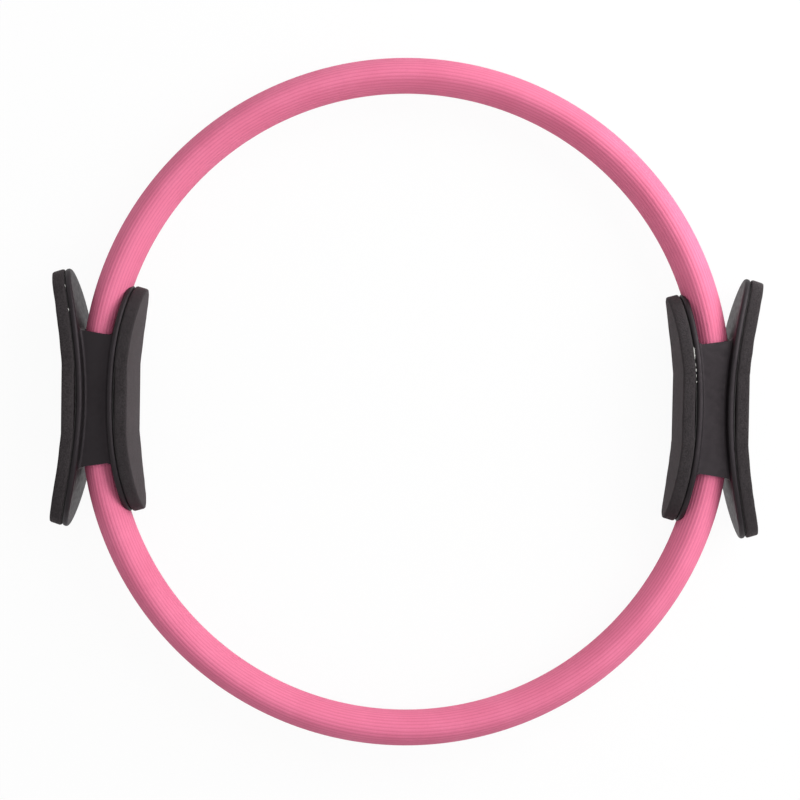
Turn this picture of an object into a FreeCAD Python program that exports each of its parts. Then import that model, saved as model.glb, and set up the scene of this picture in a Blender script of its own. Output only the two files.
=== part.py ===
"""Pilates ring: two foam-covered half hoops of spring steel, held in two padded handles.

All sizes are in millimetres. The ring lies flat: +Z is its axis, +X runs from the left handle
to the right one, and the origin is on the surface it rests on, under the middle of the ring.
"""
import FreeCAD
import Part
import math
import os

# Half hoops
hoop_radius = 164.5           # centreline of each half hoop
hoop_straight = 21.0          # straight run between the two half hoops, inside each handle
sleeve_radial = 18.8          # foam sleeve's oval section, measured in the ring's plane
sleeve_axial = 28.0           # and along the ring's axis
oval_end_share = 0.62         # of half the radial size: the radius at the oval's two ends
band_width = 16.0
band_thickness = 1.4
band_end_gap = 1.0            # between the ends of the two bands in a handle
band_slot_clearance = 0.2     # between a band and the foam round it
band_seat_clearance = 0.1     # between a band and the shells that clamp it

# Pads and the adhesive sheets under them
outer_pad_length = 138.5      # measured along Y, tip to tip of the flange side
inner_pad_length = 121.5
pad_width = 46.0
pad_flat = 36.0               # between the two ellipses that round a pad's ends
side_trim = 0.15              # cut off each long side, which makes it flat to rest on
pad_thickness = 6.6
tape_thickness = 0.4
tape_margin = 0.1             # inside the flat of the flange's face

# Handle shells: curved flanges on a web, with a channel front and back
outer_relief = 0.9            # outer flange's face, inside the line of the sleeve, at the waist
inner_wall = 1.4              # inner flange's face, beyond the line of the sleeve, at the waist
flare_radius = 228.0          # both flanges curve away from the band on this radius
flange_inset = 0.5            # from the pad's outline
flange_thickness = 3.3
rim_round_share = 0.45        # of a flange's thickness: the radius on both edges of its rim
channel_radius = 1.6          # fillet between the web and a flange
web_length = 70.0             # between the two mouths
channel_depth = 6.5           # from a flange's rim down to the web, front and back
mouth_radius = 3.0            # fillet from the web's end to a flange
socket_depth = 1.2            # of the seat for a sleeve's end in the web's end
sleeve_clearance = 0.3        # between a sleeve and the hollow for it in web and flanges

# Clamp screws and nuts
screw_diameter = 4.0
screw_head_diameter = 8.0
screw_head_height = 2.6
screw_head_chamfer = 0.8
screw_recess_length = 4.4
screw_recess_width = 0.9
screw_recess_depth = 1.4
screw_first = 8.0             # from the handle's middle to the first screw
screw_pitch = 13.0
nut_across_flats = 7.0
nut_thickness = 3.2
screw_hole_clearance = 0.2
nut_clearance = 0.1
thread_clearance = 0.05
fastener_cover = 0.4          # plastic left above a screw head or a nut, up to the pad's seat

overrun = 5.0                 # how far cutting shapes run past what they cut

# Worked-out places
mid_height = pad_width / 2
hoop_centre_y = hoop_straight / 2
seam_x = hoop_radius
outer_waist = sleeve_radial / 2 - outer_relief
inner_waist = sleeve_radial / 2 + inner_wall
web_width = pad_width - 2 * (flange_inset + channel_depth)
layer_stack = tape_thickness + pad_thickness
rim_radius = rim_round_share * flange_thickness
tape_inset = flange_inset + rim_radius + tape_margin
hoop_centre = FreeCAD.Vector(0, hoop_centre_y, mid_height)
z_axis = FreeCAD.Vector(0, 0, 1)
mouth_angle = math.degrees(math.asin((web_length / 2 - hoop_centre_y) / hoop_radius))
sleeve_angle = mouth_angle - math.degrees(socket_depth / hoop_radius)
half_turn = 180
screw_rows = [side * place for place in (screw_first, screw_first + screw_pitch) for side in (-1, 1)]


def vec(x, y, z):
    return FreeCAD.Vector(x, y, z)


def block(x_range, y_range, z_range):
    """A box between two values on each axis."""
    size = [high - low for low, high in (x_range, y_range, z_range)]
    return Part.makeBox(*size, vec(x_range[0], y_range[0], z_range[0]))


def polygon_face(points):
    return Part.Face(Part.makePolygon(points + points[:1]))


def mirrored_in_y(shape):
    return shape.mirror(vec(0, 0, 0), vec(0, 1, 0))


def mirrored_in_x(shape):
    return shape.mirror(vec(0, 0, 0), vec(1, 0, 0))


def oval_section(radial, axial):
    """An oval face of four tangent arcs across the hoop, at the right end of the half hoop."""
    half_width, half_height = radial / 2, axial / 2
    end_radius = oval_end_share * half_width
    end_centre = half_height - end_radius
    side_radius = (half_width ** 2 + end_centre ** 2 - end_radius ** 2) / (2 * (half_width - end_radius))
    lean = math.atan2(end_centre, side_radius - half_width)
    joint_x, joint_z = end_radius * math.cos(lean), end_centre + end_radius * math.sin(lean)

    def at(x, z):
        return vec(hoop_radius + x, hoop_centre_y, mid_height + z)

    edges = []
    for turn in (1, -1):
        joint, top = at(turn * joint_x, turn * joint_z), at(0, turn * half_height)
        far_joint, below = at(-turn * joint_x, turn * joint_z), at(turn * joint_x, -turn * joint_z)
        edges.append(Part.Arc(below, at(turn * half_width, 0), joint).toShape())
        edges.append(Part.Arc(joint, top, far_joint).toShape())
    return Part.Face(Part.Wire(edges))


def flat_section(thickness, width):
    """A rectangular face across the hoop at the same place."""
    low_x, high_x = hoop_radius - thickness / 2, hoop_radius + thickness / 2
    low_z, high_z = mid_height - width / 2, mid_height + width / 2
    corners = [(low_x, low_z), (high_x, low_z), (high_x, high_z), (low_x, high_z)]
    return polygon_face([vec(x, hoop_centre_y, z) for x, z in corners])


def swept(section, first_angle, last_angle):
    """Carries a section round the upper half hoop from one angle to another."""
    start = section.copy()
    start.rotate(hoop_centre, z_axis, first_angle)
    return start.revolve(hoop_centre, z_axis, last_angle - first_angle)


def band(fastener_holes):
    """Upper spring band: a half hoop of flat steel with a short straight end in each handle."""
    section = flat_section(band_thickness, band_width)
    arc = swept(section, 0, half_turn)
    end = section.extrude(vec(0, band_end_gap / 2 - hoop_centre_y, 0))
    whole = arc.fuse([end, mirrored_in_x(end)]).removeSplitter()
    return whole.cut([fastener_holes, mirrored_in_x(fastener_holes)])


def sleeve():
    """Upper foam sleeve: an oval tube round the band, from one mouth to the other."""
    foam = swept(oval_section(sleeve_radial, sleeve_axial), sleeve_angle, half_turn - sleeve_angle)
    slot = flat_section(band_thickness + 2 * band_slot_clearance, band_width + 2 * band_slot_clearance)
    return foam.cut(swept(slot, 0, half_turn))


def quarter_ellipse(start, corner, end):
    """An exact quarter of an ellipse inside the corner of its frame."""
    curve = Part.BezierCurve()
    curve.setPoles([start, corner, end])
    curve.setWeight(2, math.sqrt(0.5))
    return curve.toShape()


def oval_wire(x, half_length, half_flat, half_width):
    """A long oval in a plane of constant X: straight sides in the middle and elliptical ends."""
    def at(y, z):
        return vec(x, y, mid_height + z)

    edges = []
    for turn in (1, -1):
        tip, flat, width = turn * half_length, turn * half_flat, turn * half_width
        edges.append(Part.makeLine(at(-flat, width), at(flat, width)))
        edges.append(quarter_ellipse(at(flat, width), at(tip, width), at(tip, 0)))
        edges.append(quarter_ellipse(at(tip, 0), at(tip, -width), at(flat, -width)))
    return Part.Wire(edges)


class Flange:
    """One face of a handle: where it lies, how it curves and how long it is."""

    def __init__(self, side, waist, pad_length):
        self.side = side                      # 1 on the outer face, -1 on the inner face
        self.pad_length = pad_length
        self.face_x = seam_x + side * waist
        self.axis_x = self.face_x + side * flare_radius
        half = pad_length / 2
        self.tip_x = self.axis_x - side * math.sqrt(flare_radius ** 2 - half ** 2)

    def cylinder(self, layer):
        """The flare's round surface, moved by a layer's height above the flange's face."""
        height = pad_width + 2 * overrun
        base = vec(self.axis_x, 0, -overrun)
        surface = Part.makeCylinder(flare_radius - layer, height, base, z_axis)
        if self.side < 0:
            surface.rotate(base, z_axis, half_turn)
        return surface

    def outline(self, inset):
        """A prism with the pad's oval outline, flat at its sides and square to the flare at its ends."""
        x_range = seam_x - self.side * overrun, self.tip_x + self.side * (layer_stack + overrun)
        wires = []
        for x in x_range:
            taper = (self.axis_x - x) / (self.axis_x - self.tip_x)
            half_length = (self.pad_length / 2 - inset) * taper
            wires.append(oval_wire(x, half_length, pad_flat / 2 * taper, pad_width / 2 + side_trim - inset))
        reach = self.pad_length
        between_sides = block(sorted(x_range), (-reach, reach), (inset, pad_width - inset))
        return Part.makeLoft(wires, True, True).common(between_sides)

    def layer(self, bottom, top, inset):
        """A curved sheet on the flange, between two heights above its face."""
        sheet = self.cylinder(bottom).cut(self.cylinder(top))
        return sheet.common(self.outline(inset))

    def t_section(self):
        """Flange and half web in cross-section at the handle's middle."""
        def at(depth, z):
            return vec(self.face_x - self.side * depth, 0, mid_height + z)

        rim, web = pad_width / 2 + overrun, web_width / 2
        far = outer_waist + inner_waist
        fillet_start, fillet_end = web + channel_radius, flange_thickness + channel_radius
        bulge = channel_radius * (1 - math.sqrt(0.5))
        edges = [Part.makeLine(at(0, -rim), at(0, rim))]
        for z in (1, -1):
            middle = at(flange_thickness + bulge, z * (web + bulge))
            arc = Part.Arc(at(flange_thickness, z * fillet_start), middle, at(fillet_end, z * web))
            edges.append(Part.makeLine(at(0, z * rim), at(flange_thickness, z * rim)))
            edges.append(Part.makeLine(at(flange_thickness, z * rim), at(flange_thickness, z * fillet_start)))
            edges.append(arc.toShape())
            edges.append(Part.makeLine(at(fillet_end, z * web), at(far, z * web)))
        edges.append(Part.makeLine(at(far, web), at(far, -web)))
        return Part.Face(Part.Wire(Part.__sortEdges__(edges)))

    def stock(self):
        """Flange and half web curved along the flare, out to the flange's outline and the seam."""
        spread = math.degrees(math.asin((self.pad_length / 2 + overrun) / flare_radius))
        section = self.t_section()
        section.rotate(vec(self.axis_x, 0, 0), z_axis, -spread)
        curved = section.revolve(vec(self.axis_x, 0, 0), z_axis, 2 * spread)
        far_x = self.tip_x + self.side * overrun
        reach = self.pad_length
        beyond_seam = block(sorted((seam_x, far_x)), (-reach, reach), (0, pad_width))
        return curved.common(self.outline(flange_inset)).common(beyond_seam)

    def mouth_cut(self):
        """The open space past the web's upper end, which is square to the sleeve."""
        reach = self.pad_length
        wedge = block((0, hoop_radius + reach), (0, reach), (-overrun, pad_width + overrun))
        wedge.translate(vec(0, hoop_centre_y, 0))
        wedge.rotate(hoop_centre, z_axis, mouth_angle)
        space = wedge.cut(self.cylinder(-flange_thickness))
        web_end = vec(self.face_x, web_length / 2, mid_height)
        uprights = [edge for edge in space.Edges if edge.BoundBox.ZLength > pad_width]
        corner = min(uprights, key=lambda edge: edge.CenterOfMass.distanceToPoint(web_end))
        return space.makeFillet(mouth_radius, [corner])

    def depth(self, point):
        """How far a point lies below the flange's face, towards the band."""
        return math.hypot(point.x - self.axis_x, point.y) - flare_radius

    def rim_edges(self, body):
        """The edges all round the flange's outline, on its face and on its channel side."""
        ends = [face for face in body.Faces if face.Surface.TypeId == "Part::GeomBSplineSurface"]
        flats = [face for face in body.Faces if face.Surface.TypeId == "Part::GeomPlane"]
        sides = [face for face in flats if abs(face.CenterOfMass.z - mid_height) > web_width / 2]
        edges = [edge for wall in ends + sides for edge in wall.Edges]
        return [edge for edge in edges if self.runs_level(edge)]

    def runs_level(self, edge):
        """Whether an edge keeps its depth below the flange's face from end to end."""
        depths = [self.depth(end.Point) for end in edge.Vertexes]
        return max(depths) - min(depths) < flange_thickness / 2


outer = Flange(1, outer_waist, outer_pad_length)
inner = Flange(-1, inner_waist, inner_pad_length)


def round_bar(diameter, x_range, y):
    """A cylinder along X through the ring's mid-plane."""
    low, high = x_range
    return Part.makeCylinder(diameter / 2, high - low, vec(low, y, mid_height), vec(1, 0, 0))


def hexagon_bar(across_flats, x_range, y):
    """A hexagonal prism along X, with two flats square to Y."""
    radius = across_flats / math.sqrt(3)
    low, high = x_range
    corners = []
    for step in range(6):
        angle = math.radians(60 * step)
        corners.append(vec(low, y + radius * math.sin(angle), mid_height + radius * math.cos(angle)))
    return polygon_face(corners).extrude(vec(high - low, 0, 0))


head_top_x = inner.face_x + fastener_cover
head_seat_x = head_top_x + screw_head_height
nut_top_x = outer.face_x - fastener_cover
nut_seat_x = nut_top_x - nut_thickness


def clamp_screw(y):
    """A pan-head machine screw with a cross recess, put in from the inner flange's side."""
    head = round_bar(screw_head_diameter, (head_top_x, head_seat_x), y)
    crown = [edge for edge in head.Edges if edge.BoundBox.XMax < head_seat_x]
    head = head.makeChamfer(screw_head_chamfer, crown)
    long, short = screw_recess_length / 2, screw_recess_width / 2
    for across, along in ((long, short), (short, long)):
        x_range = (head_top_x - overrun, head_top_x + screw_recess_depth)
        z_range = (mid_height - along, mid_height + along)
        head = head.cut(block(x_range, (y - across, y + across), z_range))
    return head.fuse(round_bar(screw_diameter, (head_seat_x, nut_top_x), y))


def clamp_nut(y):
    """A hexagon nut in the outer flange's pocket."""
    nut = hexagon_bar(nut_across_flats, (nut_seat_x, nut_top_x), y)
    bore = round_bar(screw_diameter + 2 * thread_clearance, (nut_seat_x - overrun, nut_top_x + overrun), y)
    return nut.cut(bore)


def screw_hole(y):
    hole = screw_diameter + 2 * screw_hole_clearance
    return round_bar(hole, (inner.face_x - overrun, outer.face_x + overrun), y)


def inner_shell_holes():
    """Screw holes with a counterbore for each head."""
    head = screw_head_diameter + 2 * screw_hole_clearance
    outside = inner.tip_x - overrun
    holes = [screw_hole(y) for y in screw_rows]
    return holes + [round_bar(head, (outside, head_seat_x), y) for y in screw_rows]


def outer_shell_holes():
    """Screw holes with a hexagonal pocket for each nut."""
    pocket = nut_across_flats + 2 * nut_clearance
    outside = outer.tip_x + overrun
    holes = [screw_hole(y) for y in screw_rows]
    return holes + [hexagon_bar(pocket, (nut_seat_x, outside), y) for y in screw_rows]


def hoop_space():
    """Room in the right handle for the bands, and hollows that seat both sleeves' ends."""
    past_tips = math.degrees(math.asin(outer_pad_length / (2 * hoop_radius))) + mouth_angle
    grown = 2 * sleeve_clearance
    hollow = swept(oval_section(sleeve_radial + grown, sleeve_axial + grown), sleeve_angle, past_tips)
    grown = 2 * band_seat_clearance
    slot_section = flat_section(band_thickness + grown, band_width + grown)
    slot = swept(slot_section, 0, mouth_angle)
    straight = slot_section.extrude(vec(0, -hoop_straight, 0))
    return [hollow, mirrored_in_y(hollow), slot, mirrored_in_y(slot), straight]


def shell(flange, fastener_holes):
    """Half a handle: a curved flange on half the web, shaped to take the hoops and fasteners."""
    mouth = flange.mouth_cut()
    body = flange.stock().cut([mouth, mirrored_in_y(mouth)]).removeSplitter()
    body = body.makeFillet(rim_radius, flange.rim_edges(body))
    return body.cut(hoop_space()).cut(fastener_holes)


def pad(flange):
    """A foam pad cut from sheet and bent onto its flange."""
    return flange.layer(tape_thickness, layer_stack, 0)


def tape(flange):
    """The double-sided adhesive sheet between a flange and its pad."""
    return flange.layer(0, tape_thickness, tape_inset)


def handle_pieces():
    """Every piece of the right handle, by name."""
    return {
        "outer_shell": shell(outer, outer_shell_holes()),
        "inner_shell": shell(inner, inner_shell_holes()),
        "outer_pad": pad(outer),
        "inner_pad": pad(inner),
        "outer_tape": tape(outer),
        "inner_tape": tape(inner),
        "clamp_screws": Part.makeCompound([clamp_screw(y) for y in screw_rows]),
        "clamp_nuts": Part.makeCompound([clamp_nut(y) for y in screw_rows]),
    }


def build():
    """Every node of the ring, by name."""
    upper_holes = Part.makeCompound([screw_hole(y) for y in screw_rows if y > 0])
    upper_band = band(upper_holes)
    upper_sleeve = sleeve()
    nodes = {
        "upper_spring_band": upper_band,
        "lower_spring_band": mirrored_in_y(upper_band),
        "upper_foam_sleeve": upper_sleeve,
        "lower_foam_sleeve": mirrored_in_y(upper_sleeve),
    }
    for name, piece in handle_pieces().items():
        nodes["right_" + name] = piece
        nodes["left_" + name] = mirrored_in_x(piece)
    return nodes


os.makedirs("parts", exist_ok=True)
for node, shape in build().items():
    shape.exportStep("parts/" + node + ".step")
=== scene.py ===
import math

import bpy
from mathutils import Euler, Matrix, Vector, noise


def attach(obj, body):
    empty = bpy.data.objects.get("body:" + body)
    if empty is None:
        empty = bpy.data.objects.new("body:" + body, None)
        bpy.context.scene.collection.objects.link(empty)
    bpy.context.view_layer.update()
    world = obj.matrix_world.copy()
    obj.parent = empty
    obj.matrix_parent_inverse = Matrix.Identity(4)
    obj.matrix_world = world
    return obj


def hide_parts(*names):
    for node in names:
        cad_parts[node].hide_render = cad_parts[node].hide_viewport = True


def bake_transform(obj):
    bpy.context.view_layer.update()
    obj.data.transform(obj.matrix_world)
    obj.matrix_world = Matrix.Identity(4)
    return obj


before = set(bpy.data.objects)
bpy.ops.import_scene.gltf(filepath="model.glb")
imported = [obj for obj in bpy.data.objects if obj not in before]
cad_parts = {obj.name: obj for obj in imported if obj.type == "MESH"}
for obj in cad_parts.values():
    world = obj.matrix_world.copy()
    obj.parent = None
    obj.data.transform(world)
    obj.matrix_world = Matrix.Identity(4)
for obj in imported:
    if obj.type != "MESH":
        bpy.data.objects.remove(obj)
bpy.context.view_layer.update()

# A pilates ring: two foam-covered half hoops of spring steel, joined by two padded handles.
# Lengths are in metres, angles in degrees. The ring lies flat, with its mid-plane at MID_Z.
MID_Z = 0.023
HALF_TURN = 180

# Half hoops and their foam sleeves
HOOP_RADIUS = 0.1645
HOOP_CENTRE_Y = 0.0105
SLEEVE_HALF_RADIAL = 0.0094
SLEEVE_HALF_AXIAL = 0.0140
OVAL_END_RADIUS = 0.00583
SLEEVE_FIRST_ANGLE = 8.147
SLEEVE_END_ROUND = 0.0006
SLEEVE_STEPS = 150
RIB_COUNT = 36
RIB_DEPTH = 0.00018
RIB_PROFILE = (0.0, 0.62, 0.92, 1.0, 0.92, 0.62)   # from one groove to the next, of the rib's depth
RIB_TWIST = {1: 0.0, -1: 0.026}                    # ribs that a half hoop's sleeve turns in each degree
SLOT_HALF_THICKNESS = 0.0009
SLOT_HALF_WIDTH = 0.0082

# Handles: the curved flanges and what is glued on them
SEAM_X = 0.1645
FLARE_RADIUS = 0.228
OUTER_WAIST = 0.0085
INNER_WAIST = 0.0108
TAPE_TOP = 0.0004
PAD_TOP = 0.0070
PAD_HALF_WIDTH = 0.023
PAD_SIDE_TRIM = 0.00015
PAD_HALF_FLAT = 0.018
OUTER_PAD_LENGTH = 0.1385
INNER_PAD_LENGTH = 0.1215
PAD_EDGE_RADIUS = 0.0009
PAD_CROWN = 0.00025
PAD_UNEVENNESS = 0.00028
PAD_UNEVENNESS_SCALE = 90                          # waves per metre
PAD_QUARTER_STEPS = 48
PAD_SPINE_SHARES = (0.96, 0.75, 0.5, 0.25, 0.08)   # rings over a pad's face, of the way in to its spine
PAD_SIDE_SHARES = (0.35, 0.5, 0.65)                # rings round a pad's side, of its thickness

# Beads of adhesive pressed out between flange and pad
BEAD_STEPS = 24
BEAD_SIDES = 8
BEAD_HALF_HEIGHT = 0.8                             # off the flange, of the bead's thickness
BEAD_HALF_DEPTH = 1.6                              # along the ring's axis, of the bead's thickness
BEAD_MEAN = 0.55                                   # of the thickness, in the middle
BEAD_VARIATION = 0.45
BEAD_TIP = 0.02                                    # keeps the tips from closing to a point
BEAD_SUNK = 0.0006                                 # inside the pad's edge
BEAD_NOISE_SCALE = 400                             # waves per metre


def add_object(name, vertices, faces):
    """A smooth-shaded mesh object in the scene."""
    mesh = bpy.data.meshes.new(name)
    mesh.from_pydata(vertices, [], faces)
    mesh.validate()
    mesh.shade_smooth()
    piece = bpy.data.objects.new(name, mesh)
    bpy.context.scene.collection.objects.link(piece)
    return piece


def ring_faces(first, second):
    """Quads between two closed loops of vertex numbers of the same length."""
    count = len(first)
    after = [(i + 1) % count for i in range(count)]
    return [(first[i], first[after[i]], second[after[i]], second[i]) for i in range(count)]


# Foam sleeves and spring bands

def oval_points(count, turned):
    """Points and outward normals, evenly spaced round the sleeve's oval and turned by a share of it."""
    end_z = SLEEVE_HALF_AXIAL - OVAL_END_RADIUS
    reach = SLEEVE_HALF_RADIAL - OVAL_END_RADIUS
    side_radius = (SLEEVE_HALF_RADIAL ** 2 + end_z ** 2 - OVAL_END_RADIUS ** 2) / (2 * reach)
    side_x = side_radius - SLEEVE_HALF_RADIAL
    lean = math.atan2(end_z, side_x)
    arcs = []
    for turn in (0, 1):
        start = turn * math.pi
        flip = -1 if turn else 1
        arcs.append(((-flip * side_x, 0.0), side_radius, start - lean, start + lean))
        arcs.append(((0.0, flip * end_z), OVAL_END_RADIUS, start + lean, start + math.pi - lean))
    lengths = [radius * (last - first) for _, radius, first, last in arcs]
    total = sum(lengths)
    points = []
    for i in range(count):
        left = total * ((i / count + turned) % 1)
        arc = 0
        while left > lengths[arc]:
            left -= lengths[arc]
            arc += 1
        (x, z), radius, first, _ = arcs[arc]
        angle = first + left / radius
        normal = (math.cos(angle), math.sin(angle))
        points.append(((x + radius * normal[0], z + radius * normal[1]), normal))
    return points


def slot_points():
    """The corners and side points of the slot that the band lies in, in the same turning sense."""
    x, z = SLOT_HALF_THICKNESS, SLOT_HALF_WIDTH
    return [(x, 0.0), (x, z / 2), (x, z), (0.0, z), (-x, z), (-x, z / 2),
            (-x, 0.0), (-x, -z / 2), (-x, -z), (0.0, -z), (x, -z), (x, -z / 2)]


def on_hoop(across, height, angle, half):
    """A place on a half hoop: across its centreline, above the mid-plane, at an angle in degrees."""
    turn = math.radians(angle)
    radius = HOOP_RADIUS + across
    return (radius * math.cos(turn), half * (HOOP_CENTRE_Y + radius * math.sin(turn)), MID_Z + height)


def sleeve_stations():
    """Angles along a half hoop, each with how far the sleeve's surface is rounded in there."""
    part = SLEEVE_END_ROUND * (1 - math.sqrt(0.5))
    rounded = [(0.0, SLEEVE_END_ROUND), (part, part), (SLEEVE_END_ROUND, 0.0)]
    start = [(SLEEVE_FIRST_ANGLE + math.degrees(along / HOOP_RADIUS), sunk) for along, sunk in rounded]
    end = [(HALF_TURN - angle, sunk) for angle, sunk in reversed(start)]
    first, last = start[-1][0], end[0][0]
    plain = [(first + (last - first) * step / SLEEVE_STEPS, 0.0) for step in range(1, SLEEVE_STEPS)]
    return start + plain + end


def end_faces(outer, inner):
    """Triangles and quads that close a tube's end between a fine loop and a coarse one."""
    faces = []
    per_side = len(outer) / len(inner)
    for i in range(len(outer)):
        near = int((i + per_side / 2) / per_side) % len(inner)
        after = int((i + 1 + per_side / 2) / per_side) % len(inner)
        edge = (outer[i], outer[(i + 1) % len(outer)])
        faces.append(edge + (inner[near],) if near == after else edge + (inner[after], inner[near]))
    return faces


def foam_sleeve(name, half):
    """A ribbed foam tube with a slot through it, on the upper (1) or lower (-1) half hoop."""
    count = RIB_COUNT * len(RIB_PROFILE)
    crests = [RIB_PROFILE[i % len(RIB_PROFILE)] for i in range(count)]
    slot = slot_points()
    vertices = []
    crest_values = []
    outer_loops = []
    slot_loops = []
    for angle, rounding in sleeve_stations():
        ovals = oval_points(count, RIB_TWIST[half] * (angle - HALF_TURN / 2) / RIB_COUNT)
        outer_loops.append(range(len(vertices), len(vertices) + count))
        for ((x, z), (across, up)), crest in zip(ovals, crests):
            sunk = RIB_DEPTH * (1 - crest) + rounding
            vertices.append(on_hoop(x - sunk * across, z - sunk * up, angle, half))
        crest_values += crests
        slot_loops.append(range(len(vertices), len(vertices) + len(slot)))
        vertices += [on_hoop(x, z, angle, half) for x, z in slot]
        crest_values += [0.0] * len(slot)
    faces = []
    for step in range(len(outer_loops) - 1):
        faces += ring_faces(outer_loops[step + 1], outer_loops[step])
        faces += ring_faces(slot_loops[step], slot_loops[step + 1])
    ends = ((outer_loops[0], slot_loops[0], False), (outer_loops[-1], slot_loops[-1], True))
    for outer, inner, flip in ends:
        for face in end_faces(outer, inner):
            faces.append(face[::-1] if flip else face)
    if half < 0:
        faces = [face[::-1] for face in faces]
    piece = add_object(name, vertices, faces)
    # The crest share, which the foam's material turns into painted shade in the grooves.
    crest_layer = piece.data.attributes.new("crest", "FLOAT", "POINT")
    crest_layer.data.foreach_set("value", crest_values)
    return piece


def band_copy(name, node):
    """The spring band's own mesh as a new piece."""
    piece = bpy.data.objects.new(name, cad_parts[node].data.copy())
    bpy.context.scene.collection.objects.link(piece)
    return piece


# Foam pads on the flanges

def on_flange(side, face_x, along, height, z):
    """A place over a flange of the right handle: along its face, above it and up the ring's axis."""
    axis_x = face_x + side * FLARE_RADIUS
    turn = math.asin(along / FLARE_RADIUS)
    radius = FLARE_RADIUS - height
    return Vector((axis_x - side * radius * math.cos(turn), radius * math.sin(turn), MID_Z + z))


def pad_outline(length):
    """Points and outward normals round a pad's flat outline, from its upper tip."""
    end = length / 2 - PAD_HALF_FLAT
    width = PAD_HALF_WIDTH + PAD_SIDE_TRIM
    outline = []
    for step in range(4 * PAD_QUARTER_STEPS):
        turn = 2 * math.pi * (step + 0.5) / (4 * PAD_QUARTER_STEPS)
        across, up = math.cos(turn), math.sin(turn)
        along = math.copysign(PAD_HALF_FLAT, across) + end * across
        z = max(-PAD_HALF_WIDTH, min(PAD_HALF_WIDTH, width * up))
        normal = Vector((across / end, up / width)).normalized()
        outline.append((along, z, normal))
    return outline


def pad_rings():
    """Inset from the outline, share of the way to the pad's spine and height, from bottom to top."""
    round_off = PAD_EDGE_RADIUS
    part = round_off * (1 - math.sqrt(0.5))
    low = [(round_off, share, TAPE_TOP) for share in PAD_SPINE_SHARES]
    low += [(round_off, 0.0, TAPE_TOP), (part, 0.0, TAPE_TOP + part), (0.0, 0.0, TAPE_TOP + round_off)]
    middle = [(0.0, 0.0, TAPE_TOP + (PAD_TOP - TAPE_TOP) * share) for share in PAD_SIDE_SHARES]
    high = [(0.0, 0.0, PAD_TOP - round_off), (part, 0.0, PAD_TOP - part), (round_off, 0.0, PAD_TOP)]
    high += [(round_off, share, PAD_TOP) for share in reversed(PAD_SPINE_SHARES)]
    return low + middle + high


def foam_pad(name, hand, side, face_x, length):
    """A pad cut from foam sheet, on one flange.

    hand is 1 for the right handle and -1 for the left one, side is 1 for the outer flange and -1 for
    the inner one.
    """
    outline = pad_outline(length)
    spine = length / 2 - PAD_HALF_WIDTH
    noise_start = Vector((hand * 3.1, side * 5.7, 1.3))   # each pad is uneven in its own way
    vertices = []
    loops = []
    for inset, share, height in pad_rings():
        loops.append(range(len(vertices), len(vertices) + len(outline)))
        for along, z, normal in outline:
            spot = Vector((along, z, 0.0)) * PAD_UNEVENNESS_SCALE + noise_start
            wobble = PAD_UNEVENNESS * noise.noise(spot)
            y = along - normal.x * (inset + wobble)
            up = z - normal.y * inset
            y = y + share * (max(-spine, min(spine, y)) - y)
            up = up * (1 - share)
            top = height > (TAPE_TOP + PAD_TOP) / 2
            swell = (PAD_CROWN * share * (2 - share) - abs(wobble) * (1 - share)) if top else 0.0
            place = on_flange(side, face_x, y, height + swell, up)
            vertices.append((hand * place.x, place.y, place.z))
    faces = []
    for lower, upper in zip(loops, loops[1:]):
        faces += ring_faces(lower, upper)
    count = len(outline)
    for loop, flip in ((loops[0], True), (loops[-1], False)):
        for i in range(count // 2 - 1):
            face = (loop[i], loop[i + 1], loop[count - 2 - i], loop[count - 1 - i])
            faces.append(face[::-1] if flip else face)
    if hand * side < 0:
        faces = [face[::-1] for face in faces]
    return add_object(name, vertices, faces)


def glue_bead(name, hand, side, face_x, first, last, thickness, top_z):
    """A thin uneven bead of adhesive pressed out between a flange and its pad."""
    vertices = []
    loops = []
    for step in range(BEAD_STEPS + 1):
        share = step / BEAD_STEPS
        along = first + (last - first) * share
        # The beads of each handle are uneven in their own way.
        spot = Vector((along * BEAD_NOISE_SCALE, 0.7, hand * 2.0))
        bulge = BEAD_MEAN + BEAD_VARIATION * noise.noise(spot)
        size = thickness * math.sqrt(max(BEAD_TIP, math.sin(math.pi * share))) * bulge
        loops.append(range(len(vertices), len(vertices) + BEAD_SIDES))
        for i in range(BEAD_SIDES):
            turn = 2 * math.pi * i / BEAD_SIDES
            height = TAPE_TOP / 2 + BEAD_HALF_HEIGHT * size * math.cos(turn)
            z = top_z + BEAD_HALF_DEPTH * size * math.sin(turn)
            place = on_flange(side, face_x, along, height, z)
            vertices.append((hand * place.x, place.y, place.z))
    faces = [tuple(loops[0])[::-1], tuple(loops[-1])]
    for lower, upper in zip(loops, loops[1:]):
        faces += ring_faces(lower, upper)
    if hand * side > 0:
        faces = [face[::-1] for face in faces]
    return add_object(name, vertices, faces)


# Materials

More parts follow.
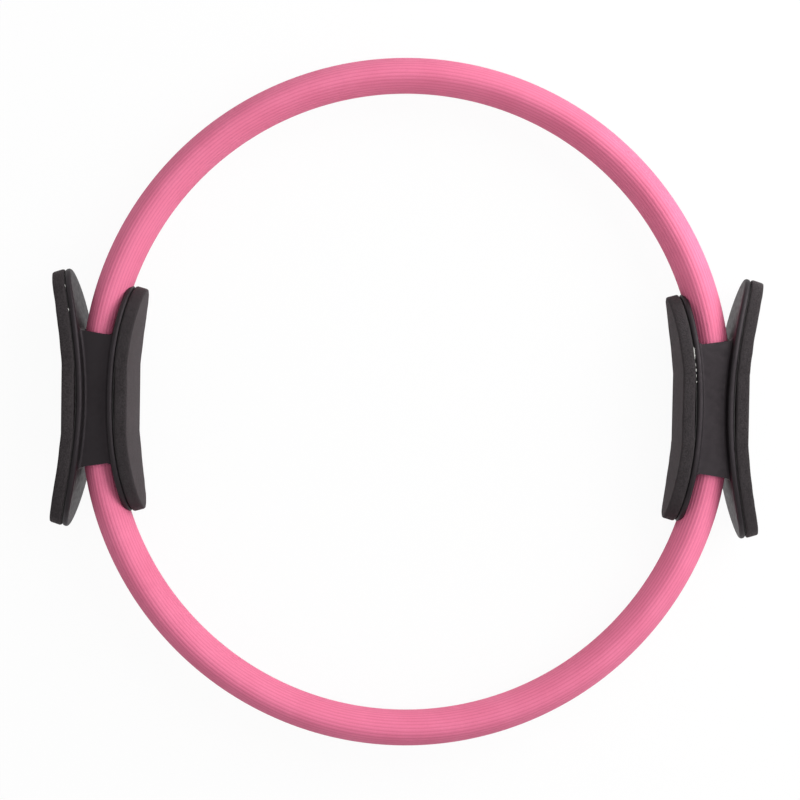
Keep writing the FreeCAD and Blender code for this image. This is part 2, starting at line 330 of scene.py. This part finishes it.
class Surface:
    """A node material: one shader with named sockets, and the nodes that feed it."""

    def __init__(self, name, color, roughness, **sockets):
        self.material = bpy.data.materials.new(name)
        self.material.use_nodes = True
        self.tree = self.material.node_tree
        self.shader = self.tree.nodes["Principled BSDF"]
        self.shader.inputs["Base Color"].default_value = (*color, 1.0)
        self.shader.inputs["Roughness"].default_value = roughness
        for socket, value in sockets.items():
            self.shader.inputs[socket.replace("_", " ")].default_value = value
        self.coordinates = self.tree.nodes.new("ShaderNodeTexCoord").outputs["Object"]

    def node(self, kind, links=(), **settings):
        """A new node with its settings, and links into its sockets."""
        made = self.tree.nodes.new(kind)
        for setting, value in settings.items():
            setattr(made, setting, value)
        for socket, source in links:
            self.tree.links.new(source, made.inputs[socket])
        return made

    def noise(self, scale, detail=3.0, stretch=None):
        """A noise value over the object, with a scale in waves per metre."""
        source = self.coordinates
        if stretch:
            mapping = self.node("ShaderNodeMapping", [("Vector", source)])
            mapping.inputs["Scale"].default_value = stretch
            source = mapping.outputs["Vector"]
        made = self.node("ShaderNodeTexNoise", [("Vector", source)])
        made.inputs["Scale"].default_value = scale
        made.inputs["Detail"].default_value = detail
        return made.outputs["Fac"]

    def ramp(self, source, low, high, dark, light):
        """A colour between two, as the source goes from low to high."""
        made = self.node("ShaderNodeValToRGB", [("Fac", source)])
        made.color_ramp.elements[0].position = low
        made.color_ramp.elements[0].color = (*dark, 1.0)
        made.color_ramp.elements[1].position = high
        made.color_ramp.elements[1].color = (*light, 1.0)
        return made.outputs["Color"]

    def spread(self, source, low, high):
        """The source's usual span, 0.3 to 0.7, as values from low to high."""
        made = self.node("ShaderNodeMapRange", [("Value", source)])
        for socket, value in (("From Min", 0.3), ("From Max", 0.7), ("To Min", low), ("To Max", high)):
            made.inputs[socket].default_value = value
        return made.outputs["Result"]

    def multiply(self, first, second):
        """The product of two colours."""
        made = self.node("ShaderNodeMix", data_type="RGBA", blend_type="MULTIPLY")
        made.inputs["Factor"].default_value = 1.0
        self.tree.links.new(first, made.inputs["A"])
        self.tree.links.new(second, made.inputs["B"])
        return made.outputs["Result"]

    def feed(self, socket, source):
        """Links a source to one of the shader's sockets."""
        self.tree.links.new(source, self.shader.inputs[socket])

    def bump(self, *layers):
        """Bump from several layers, each with its source, strength and depth."""
        normal = None
        for source, strength, depth in layers:
            links = [("Height", source)] + ([("Normal", normal)] if normal else [])
            made = self.node("ShaderNodeBump", links)
            made.inputs["Strength"].default_value = strength
            made.inputs["Distance"].default_value = depth
            normal = made.outputs["Normal"]
        self.feed("Normal", normal)


def pink_foam():
    """Ribbed closed-cell foam, with shade painted into the grooves between its crests."""
    surface = Surface("pink_foam", (0.79, 0.192, 0.324), 0.7, Specular_IOR_Level=0.25)
    crest = surface.node("ShaderNodeAttribute", attribute_name="crest").outputs["Fac"]
    # Painted shade: darker in the grooves, by each point's crest share.
    groove_shade = surface.ramp(crest, 0.0, 0.85, (0.88, 0.78, 0.82), (1.0, 1.0, 1.0))
    blotches = surface.ramp(surface.noise(45), 0.35, 0.65, (0.77, 0.182, 0.310), (0.81, 0.202, 0.338))
    grain = surface.ramp(surface.noise(1500), 0.3, 0.7, (0.94, 0.93, 0.94), (1.0, 1.0, 1.0))
    surface.feed("Base Color", surface.multiply(surface.multiply(blotches, groove_shade), grain))
    surface.feed("Roughness", surface.spread(surface.noise(700), 0.62, 0.78))
    surface.bump((surface.noise(2600, 4.0), 0.2, 0.00012), (surface.noise(220), 0.2, 0.0003))
    return surface.material


def black_pad_foam():
    """Matt cut foam sheet with open cells and a faint bloom."""
    surface = Surface("black_pad_foam", (0.040, 0.034, 0.036), 0.85, Specular_IOR_Level=0.2,
                      Sheen_Weight=0.075, Sheen_Roughness=0.45, Sheen_Tint=(1.0, 0.84, 0.89, 1.0))
    patches = surface.ramp(surface.noise(70), 0.3, 0.7, (0.0345, 0.029, 0.031), (0.0445, 0.038, 0.0405))
    cells = surface.node("ShaderNodeTexVoronoi", [("Vector", surface.coordinates)])
    cells.inputs["Scale"].default_value = 1500.0
    pores = surface.ramp(cells.outputs["Distance"], 0.1, 0.75, (1.15, 1.15, 1.15), (0.62, 0.62, 0.62))
    surface.feed("Base Color", surface.multiply(patches, pores))
    surface.feed("Roughness", surface.spread(surface.noise(900), 0.78, 0.92))
    surface.bump((cells.outputs["Distance"], 0.5, 0.0003), (surface.noise(160), 0.3, 0.0005))
    return surface.material


def black_plastic():
    """Satin moulded plastic, slightly uneven in gloss."""
    surface = Surface("black_plastic", (0.011, 0.0097, 0.0105), 0.5, Specular_IOR_Level=0.36,
                      Specular_Tint=(1.0, 0.86, 0.94, 1.0))
    tone = surface.ramp(surface.noise(60), 0.3, 0.7, (0.009, 0.0078, 0.0085), (0.013, 0.0115, 0.0125))
    surface.feed("Base Color", tone)
    surface.feed("Roughness", surface.spread(surface.noise(420, 4.0), 0.43, 0.57))
    surface.bump((surface.noise(2200, 2.0), 0.15, 0.0001), (surface.noise(520), 0.12, 0.0002),
                 (surface.noise(90), 0.15, 0.0003))
    return surface.material


def adhesive_sheet():
    """Dark double-sided tape."""
    surface = Surface("adhesive_sheet", (0.05, 0.05, 0.05), 0.6, Specular_IOR_Level=0.4)
    mottle = surface.ramp(surface.noise(500), 0.3, 0.7, (0.035, 0.034, 0.034), (0.07, 0.068, 0.066))
    surface.feed("Base Color", mottle)
    surface.feed("Roughness", surface.spread(surface.noise(900), 0.5, 0.75))
    surface.bump((surface.noise(1800), 0.3, 0.0001))
    return surface.material


def white_glue():
    """Dried adhesive."""
    surface = Surface("white_glue", (0.8, 0.79, 0.76), 0.5)
    mottle = surface.ramp(surface.noise(600), 0.3, 0.7, (0.62, 0.6, 0.57), (0.86, 0.85, 0.82))
    surface.feed("Base Color", mottle)
    surface.feed("Roughness", surface.spread(surface.noise(1200), 0.4, 0.65))
    surface.bump((surface.noise(1500), 0.3, 0.0001))
    return surface.material


def spring_steel():
    """Rolled spring steel strip with fine streaks."""
    surface = Surface("spring_steel", (0.36, 0.36, 0.39), 0.35, Metallic=1.0)
    streaks = surface.noise(240, 3.0, stretch=(1.0, 1.0, 12.0))
    surface.feed("Base Color", surface.ramp(streaks, 0.3, 0.7, (0.28, 0.28, 0.31), (0.44, 0.44, 0.47)))
    surface.feed("Roughness", surface.spread(streaks, 0.26, 0.45))
    surface.bump((streaks, 0.1, 0.00005))
    return surface.material


def zinc_steel():
    """Zinc-plated screws and nuts."""
    surface = Surface("zinc_steel", (0.62, 0.62, 0.60), 0.3, Metallic=1.0)
    patches = surface.noise(800)
    surface.feed("Base Color", surface.ramp(patches, 0.3, 0.7, (0.52, 0.52, 0.49), (0.7, 0.7, 0.69)))
    surface.feed("Roughness", surface.spread(patches, 0.24, 0.4))
    surface.bump((surface.noise(2500), 0.1, 0.00005))
    return surface.material


def dress(piece, material):
    """Gives a piece one material."""
    piece.data.materials.clear()
    piece.data.materials.append(material)


# The object

foam, pad_foam, plastic = pink_foam(), black_pad_foam(), black_plastic()
tape, glue, steel, zinc = adhesive_sheet(), white_glue(), spring_steel(), zinc_steel()

for half, word in ((1, "upper"), (-1, "lower")):
    sleeve = foam_sleeve(word + "_ribbed_sleeve", half)
    band = band_copy(word + "_bending_band", word + "_spring_band")
    dress(sleeve, foam)
    dress(band, steel)
    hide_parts(word + "_foam_sleeve")
    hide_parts(word + "_spring_band")
    for piece in (sleeve, band):
        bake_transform(piece)

# Each flange's side, the place of its face at the waist, and its pad's length
flanges = {
    "outer": (1, SEAM_X + OUTER_WAIST, OUTER_PAD_LENGTH),
    "inner": (-1, SEAM_X - INNER_WAIST, INNER_PAD_LENGTH),
}
for hand, word in ((1, "right"), (-1, "left")):
    for place, (side, face_x, length) in flanges.items():
        pad = foam_pad(word + "_" + place + "_foam_pad", hand, side, face_x, length)
        dress(pad, pad_foam)
        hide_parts(word + "_" + place + "_pad")
        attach(pad, word + "_handle")
        dress(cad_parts[word + "_" + place + "_shell"], plastic)
        dress(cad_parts[word + "_" + place + "_tape"], tape)
    for kind in ("clamp_screws", "clamp_nuts"):
        dress(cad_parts[word + "_" + kind], zinc)

# Beads of adhesive: hand, flange, first and last place along it, thickness
beads = [
    (1, "inner", 0.0262, 0.0328, 0.0007),
    (1, "inner", 0.0226, 0.0244, 0.00035),
    (1, "inner", 0.0196, 0.0214, 0.0004),
    (1, "inner", 0.0168, 0.0184, 0.00035),
    (1, "inner", 0.0138, 0.0148, 0.0003),
    (-1, "outer", 0.0590, 0.0606, 0.0003),
    (-1, "outer", 0.0463, 0.0481, 0.0003),
]
for number, (hand, place, first, last, thickness) in enumerate(beads, start=1):
    side, face_x, length = flanges[place]
    half_end = length / 2 - PAD_HALF_FLAT
    beyond = max(0.0, (first + last) / 2 - PAD_HALF_FLAT) / half_end
    top_z = PAD_HALF_WIDTH * math.sqrt(1 - beyond ** 2) - BEAD_SUNK
    name = "glue_bead_" + str(number)
    bead = glue_bead(name, hand, side, face_x, first, last, thickness, top_z)
    dress(bead, glue)
    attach(bead, "right_handle" if hand > 0 else "left_handle")

# Floor, light and camera

FLOOR_HALF = 20.0
WALL_STEPS = 64
WALL_HEIGHT = 8.0
WHITE_SHARE = 0.94                                 # of the floor; the rest of it shows light and shadow
SKY_STRENGTH = 0.51

corners = [(-1, -1), (1, -1), (1, 1), (-1, 1)]
floor = add_object("floor", [(x * FLOOR_HALF, y * FLOOR_HALF, 0) for x, y in corners], [(0, 1, 2, 3)])

# A wall all round, far away, that low views see behind the ring
wall_points = []
for z in (0.0, WALL_HEIGHT):
    for step in range(WALL_STEPS):
        turn = 2 * math.pi * step / WALL_STEPS
        wall_points.append((FLOOR_HALF * math.cos(turn), FLOOR_HALF * math.sin(turn), z))
wall_faces = ring_faces(range(WALL_STEPS, 2 * WALL_STEPS), range(WALL_STEPS))
backdrop = add_object("backdrop", wall_points, wall_faces)

ground = Surface("white_floor", (0.9, 0.9, 0.9), 0.9, Specular_IOR_Level=0.1)
rays = ground.node("ShaderNodeLightPath")
seen = rays.outputs["Is Camera Ray"]
for kind in ("Is Glossy Ray", "Is Transmission Ray"):
    either = [(0, seen), (1, rays.outputs[kind])]
    seen = ground.node("ShaderNodeMath", either, operation="MAXIMUM").outputs["Value"]
white = ground.node("ShaderNodeMath", [(0, seen)], operation="MULTIPLY")
white.inputs[1].default_value = WHITE_SHARE
glow = ground.node("ShaderNodeEmission")
glow.inputs["Strength"].default_value = 1.0
sources = (white.outputs["Value"], ground.shader.outputs["BSDF"], glow.outputs["Emission"])
mixed = ground.node("ShaderNodeMixShader", zip(("Fac", 1, 2), sources))
output = ground.tree.nodes["Material Output"]
ground.tree.links.new(mixed.outputs["Shader"], output.inputs["Surface"])
dress(floor, ground.material)
dress(backdrop, ground.material)

world = bpy.data.worlds.new("studio")
world.use_nodes = True
bpy.context.scene.world = world
sky = world.node_tree.nodes["Background"]
sky.inputs["Color"].default_value = (1.0, 1.0, 1.0, 1.0)
sky.inputs["Strength"].default_value = SKY_STRENGTH


def area_light(name, azimuth, elevation, distance, size, power):
    """A square lamp that looks at the middle of the ring."""
    lamp = bpy.data.lights.new(name, "AREA")
    lamp.size = size
    lamp.energy = power
    light = bpy.data.objects.new(name, lamp)
    turn = math.radians(azimuth)
    rise = math.radians(elevation)
    level = math.cos(rise)
    direction = Vector((math.cos(turn) * level, math.sin(turn) * level, math.sin(rise)))
    light.location = Vector((0.0, 0.0, MID_Z)) + distance * direction
    light.rotation_euler = direction.to_track_quat("Z", "Y").to_euler()
    light.visible_camera = False
    bpy.context.scene.collection.objects.link(light)


area_light("key", azimuth=28.0, elevation=33.0, distance=0.85, size=0.9, power=8.4)
area_light("overhead", azimuth=-10.0, elevation=81.0, distance=1.7, size=0.3, power=3.6)

CAMERA_DISTANCE = 1.0
CAMERA_X = 0.019
CAMERA_Y = 0.030
AIM_X = -0.0025
AIM_Y = 0.0017
CAMERA_ROLL = 0.94
SENSOR_WIDTH = 36.0                                # millimetres
LENS = 83.86                                       # millimetres
camera_data = bpy.data.cameras.new("camera")
camera_data.sensor_width = SENSOR_WIDTH
camera_data.lens = LENS
camera = bpy.data.objects.new("camera", camera_data)
camera.location = (CAMERA_X, CAMERA_Y, MID_Z + CAMERA_DISTANCE)
sight = camera.location - Vector((AIM_X, AIM_Y, MID_Z))
tilt_x = -math.atan2(sight.y, sight.z)
tilt_y = math.atan2(sight.x, math.hypot(sight.y, sight.z))
camera.rotation_euler = Euler((tilt_x, tilt_y, 0.0), "XYZ")
camera.rotation_euler.rotate_axis("Z", math.radians(CAMERA_ROLL))
bpy.context.scene.collection.objects.link(camera)
bpy.context.scene.camera = camera
bpy.context.scene.view_settings.view_transform = "Standard"
